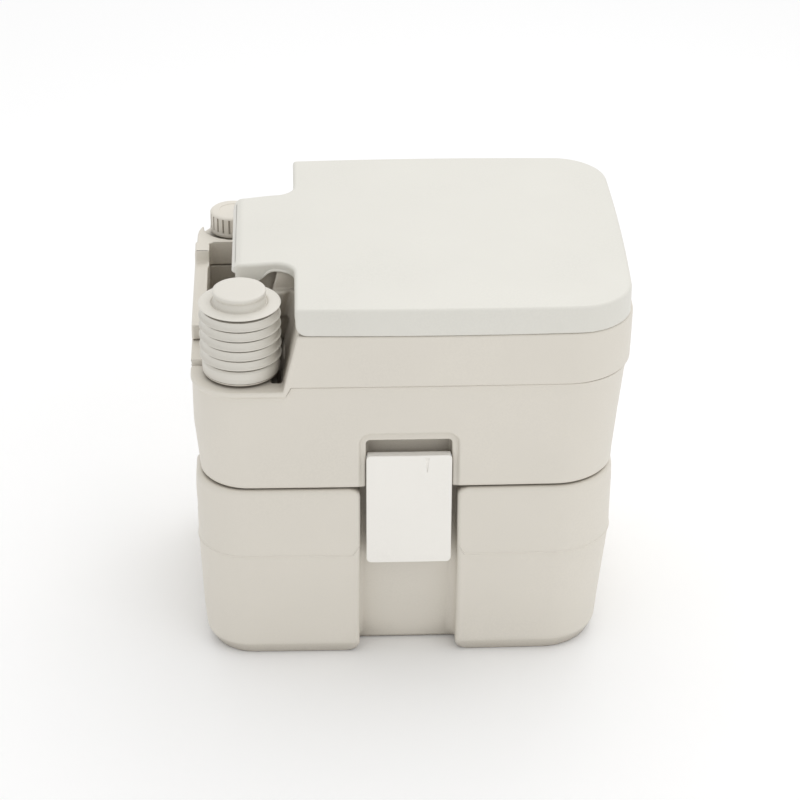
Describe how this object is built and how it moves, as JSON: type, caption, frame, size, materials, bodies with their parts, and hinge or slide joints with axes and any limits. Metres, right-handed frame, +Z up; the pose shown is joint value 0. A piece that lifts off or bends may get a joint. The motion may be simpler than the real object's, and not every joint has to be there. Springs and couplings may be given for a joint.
{
  "type": "portable camp toilet",
  "caption": "Portable flush toilet for camping: an upper water tank with bowl, seat, lid and bellows pump, latched to a lower waste tank.",
  "frame": {"origin": "on the ground, under the middle of the toilet's box", "axes": "+Z up; -Y is the front, where the user's legs are; +Y is the rear with the pump, filler cap and lid hinge; -X is the pump's side"},
  "size_m": [0.356, 0.445, 0.42],
  "materials": {
    "tank_plastic": "semi-matt warm grey-white blow-moulded polyethylene with a very fine grain",
    "seat_plastic": "semi-matt off-white moulded polypropylene",
    "latch_plastic": "smooth warm white moulded plastic",
    "pump_plastic": "flexible blow-moulded off-white plastic",
    "tube_plastic": "translucent white tube",
    "grey_plastic": "mid grey moulded plastic",
    "seal_rubber": "black lip rubber",
    "pale_rubber": "grey silicone rubber",
    "steel": "stainless steel"
  },
  "bodies": {
    "waste_unit": {"waste_tank": "tank_plastic", "valve_housing": "tank_plastic", "valve_lip_seal": "seal_rubber", "valve_screw_1": "steel", "valve_screw_2": "steel", "valve_screw_3": "steel", "valve_screw_4": "steel", "spout_collar": "tank_plastic", "spout_o_ring": "seal_rubber", "vent_bush": "tank_plastic", "vent_spring": "steel"},
    "flush_unit": {"flush_tank": "tank_plastic", "flush_tube": "tube_plastic", "flush_nozzle": "seat_plastic", "dip_tube": "tube_plastic", "pump_base": "tank_plastic", "pump_valve_flap": "seal_rubber", "pump_bellows": "pump_plastic", "hinge_pin": "steel", "latch_pin_near": "steel", "latch_pin_far": "steel"},
    "pump_plunger": {"pump_button": "pump_plastic"},
    "fill_seal": {"fill_cap_seal": "pale_rubber"},
    "fill_closure": {"fill_cap": "tank_plastic"},
    "seat_ring": {"seat": "seat_plastic", "seat_bumper_1": "pale_rubber", "seat_bumper_2": "pale_rubber", "seat_bumper_3": "pale_rubber", "seat_bumper_4": "pale_rubber"},
    "lid_cover": {"lid": "seat_plastic", "lid_bumper_1": "pale_rubber", "lid_bumper_2": "pale_rubber"},
    "near_latch": {"latch_near": "latch_plastic", "latch_catch_near": "latch_plastic"},
    "far_latch": {"latch_far": "latch_plastic", "latch_catch_far": "latch_plastic"},
    "valve_slide": {"valve_blade": "grey_plastic", "valve_handle": "grey_plastic"},
    "vent_plunger": {"vent_button": "grey_plastic"},
    "spout_elbow": {"pour_spout": "tank_plastic"},
    "spout_seal": {"spout_cap_seal": "pale_rubber"},
    "spout_closure": {"spout_cap": "tank_plastic"}
  },
  "joints": [
    {"name": "flush_unit_lift", "type": "slide", "parent": "waste_unit", "child": "flush_unit", "axis": [0, 0, 1], "range_m": [0, 0.08]},
    {"name": "seat_hinge", "type": "hinge", "parent": "flush_unit", "child": "seat_ring", "pos_m": [0, 0.168, 0.4085], "axis": [1, 0, 0], "range_deg": [-95, 0]},
    {"name": "lid_hinge", "type": "hinge", "parent": "seat_ring", "child": "lid_cover", "pos_m": [0, 0.168, 0.4085], "axis": [-1, 0, 0], "range_deg": [0, 100]},
    {"name": "latch_near_hinge", "type": "hinge", "parent": "flush_unit", "child": "near_latch", "pos_m": [-0.158, 0.00375, 0.243], "axis": [0, 1, 0], "range_deg": [0, 105], "deforming": ["latch_catch_near"]},
    {"name": "latch_far_hinge", "type": "hinge", "parent": "flush_unit", "child": "far_latch", "pos_m": [0.158, 0.00375, 0.243], "axis": [0, -1, 0], "range_deg": [0, 105], "deforming": ["latch_catch_far"]},
    {"name": "pump_press", "type": "slide", "parent": "flush_unit", "child": "pump_plunger", "axis": [0, 0, 1], "range_m": [-0.03, 0], "stiffness_N_per_m": 500, "springref_m": 0.006, "deforming": ["pump_bellows"]},
    {"name": "fill_cap_lift", "type": "slide", "parent": "flush_unit", "child": "fill_seal", "axis": [0, 0, 1], "range_m": [0, 0.0055]},
    {"name": "fill_cap_turn", "type": "hinge", "parent": "fill_seal", "child": "fill_closure", "pos_m": [0.137, 0.182, 0.3575], "axis": [0, 0, 1], "range_deg": [0, 360]},
    {"name": "valve_pull", "type": "slide", "parent": "waste_unit", "child": "valve_slide", "axis": [0, -1, 0], "range_m": [0, 0.095]},
    {"name": "vent_press", "type": "slide", "parent": "waste_unit", "child": "vent_plunger", "axis": [0, 1, 0], "range_m": [-0.0037, 0], "stiffness_N_per_m": 400, "springref_m": 0.003, "deforming": ["vent_spring"]},
    {"name": "spout_swivel", "type": "hinge", "parent": "waste_unit", "child": "spout_elbow", "pos_m": [0.07, 0.168, 0.14], "axis": [0, 0, -1], "range_deg": [0, 90]},
    {"name": "spout_cap_lift", "type": "slide", "parent": "spout_elbow", "child": "spout_seal", "axis": [-1, 0, 0], "range_m": [0, 0.0055]},
    {"name": "spout_cap_turn", "type": "hinge", "parent": "spout_seal", "child": "spout_closure", "pos_m": [-0.046, 0.168, 0.178], "axis": [-1, 0, 0], "range_deg": [0, 360]}
  ],
  "couplings": [
    {"joint": "fill_cap_turn", "follows": "fill_cap_lift", "rad_per_m": 1142.4},
    {"joint": "spout_cap_turn", "follows": "spout_cap_lift", "rad_per_m": 1142.4}
  ]
}
